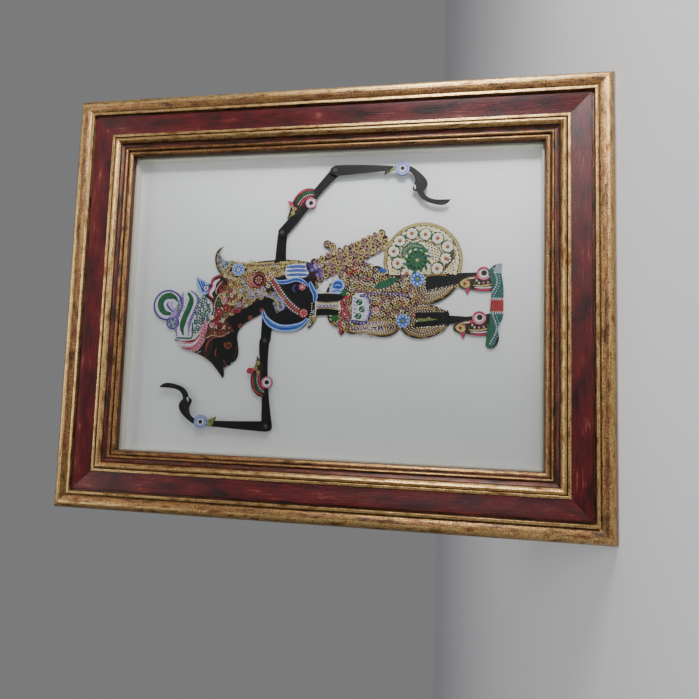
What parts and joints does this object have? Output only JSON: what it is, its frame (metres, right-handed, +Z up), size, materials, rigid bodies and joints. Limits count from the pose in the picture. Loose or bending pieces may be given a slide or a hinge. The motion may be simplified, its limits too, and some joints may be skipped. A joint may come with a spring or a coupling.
{
  "type": "framed shadow puppet",
  "caption": "Flat pierced and painted leather shadow puppet with hinged arms, shown behind glass in a mitred gilt and red picture frame with a ring hanger.",
  "frame": {"origin": "where the wall nail bears: top inside of the hanger ring, on the frame's back plane, at the middle of the width", "axes": "+Z up along the picture's height, -Y out of the picture towards the viewer, +X to the viewer's right"},
  "size_m": [0.304, 0.0297, 0.382],
  "materials": {
    "moulding": "distressed gilt beads and dark red painted panel on wood",
    "nail_steel": "bright steel strip",
    "glass": "clear float glass",
    "spacer_card": "cream card-faced strip",
    "mount_board": "cream paper-faced board",
    "fibreboard": "smooth brown hardboard",
    "button_steel": "zinc-plated steel",
    "screw_brass": "brass-plated steel",
    "hanger_brass": "brass-plated steel",
    "felt": "black felt",
    "foam": "white foam",
    "painted_leather": "pierced hide painted black, bronze, blue, green, purple and red",
    "rivet_horn": "dark polished horn"
  },
  "bodies": {
    "frame": {"rail_top": "moulding", "rail_bottom": "moulding", "rail_left": "moulding", "rail_right": "moulding", "corner_nails": "nail_steel", "glass_pane": "glass", "spacer_top": "spacer_card", "spacer_bottom": "spacer_card", "spacer_left": "spacer_card", "spacer_right": "spacer_card", "mount_board": "mount_board", "back_panel": "fibreboard", "button_screws": "screw_brass", "hanger_strap": "hanger_brass", "hanger_screws": "screw_brass", "wall_bumpers": "felt", "mounting_pads": "foam", "puppet_body": "painted_leather", "front_shoulder_rivet": "rivet_horn", "rear_shoulder_rivet": "rivet_horn"},
    "front_upper_arm": {"front_upper_arm": "painted_leather", "front_elbow_rivet": "rivet_horn"},
    "front_forearm": {"front_forearm": "painted_leather"},
    "rear_upper_arm": {"rear_upper_arm": "painted_leather", "rear_elbow_rivet": "rivet_horn"},
    "rear_forearm": {"rear_forearm": "painted_leather"},
    "turn_button_1": {"turn_button_1": "button_steel"},
    "turn_button_2": {"turn_button_2": "button_steel"},
    "turn_button_3": {"turn_button_3": "button_steel"},
    "turn_button_4": {"turn_button_4": "button_steel"},
    "hanger_ring": {"hanger_ring": "hanger_brass"}
  },
  "joints": [
    {"name": "front_shoulder", "type": "hinge", "parent": "frame", "child": "front_upper_arm", "pos_m": [-0.0275, 0, -0.142], "axis": [0, -1, 0], "range_deg": [-45, 20]},
    {"name": "front_elbow", "type": "hinge", "parent": "front_upper_arm", "child": "front_forearm", "pos_m": [-0.0888, 0, -0.1458], "axis": [0, -1, 0], "range_deg": [-85, 0]},
    {"name": "rear_shoulder", "type": "hinge", "parent": "frame", "child": "rear_upper_arm", "pos_m": [0.052, 0, -0.1518], "axis": [0, -1, 0], "range_deg": [-15, 3]},
    {"name": "rear_elbow", "type": "hinge", "parent": "rear_upper_arm", "child": "rear_forearm", "pos_m": [0.0968, 0, -0.19], "axis": [0, -1, 0], "range_deg": [-75, 3]},
    {"name": "turn_button_1_swing", "type": "hinge", "parent": "frame", "child": "turn_button_1", "pos_m": [-0.122, 0, -0.265], "axis": [0, 1, 0], "continuous": true},
    {"name": "turn_button_2_swing", "type": "hinge", "parent": "frame", "child": "turn_button_2", "pos_m": [-0.122, 0, -0.105], "axis": [0, 1, 0], "continuous": true},
    {"name": "turn_button_3_swing", "type": "hinge", "parent": "frame", "child": "turn_button_3", "pos_m": [0.122, 0, -0.265], "axis": [0, 1, 0], "continuous": true},
    {"name": "turn_button_4_swing", "type": "hinge", "parent": "frame", "child": "turn_button_4", "pos_m": [0.122, 0, -0.105], "axis": [0, 1, 0], "continuous": true},
    {"name": "hanger_ring_swing", "type": "hinge", "parent": "frame", "child": "hanger_ring", "pos_m": [0, 0.00185, -0.008], "axis": [-1, 0, 0], "range_deg": [0, 120]}
  ]
}
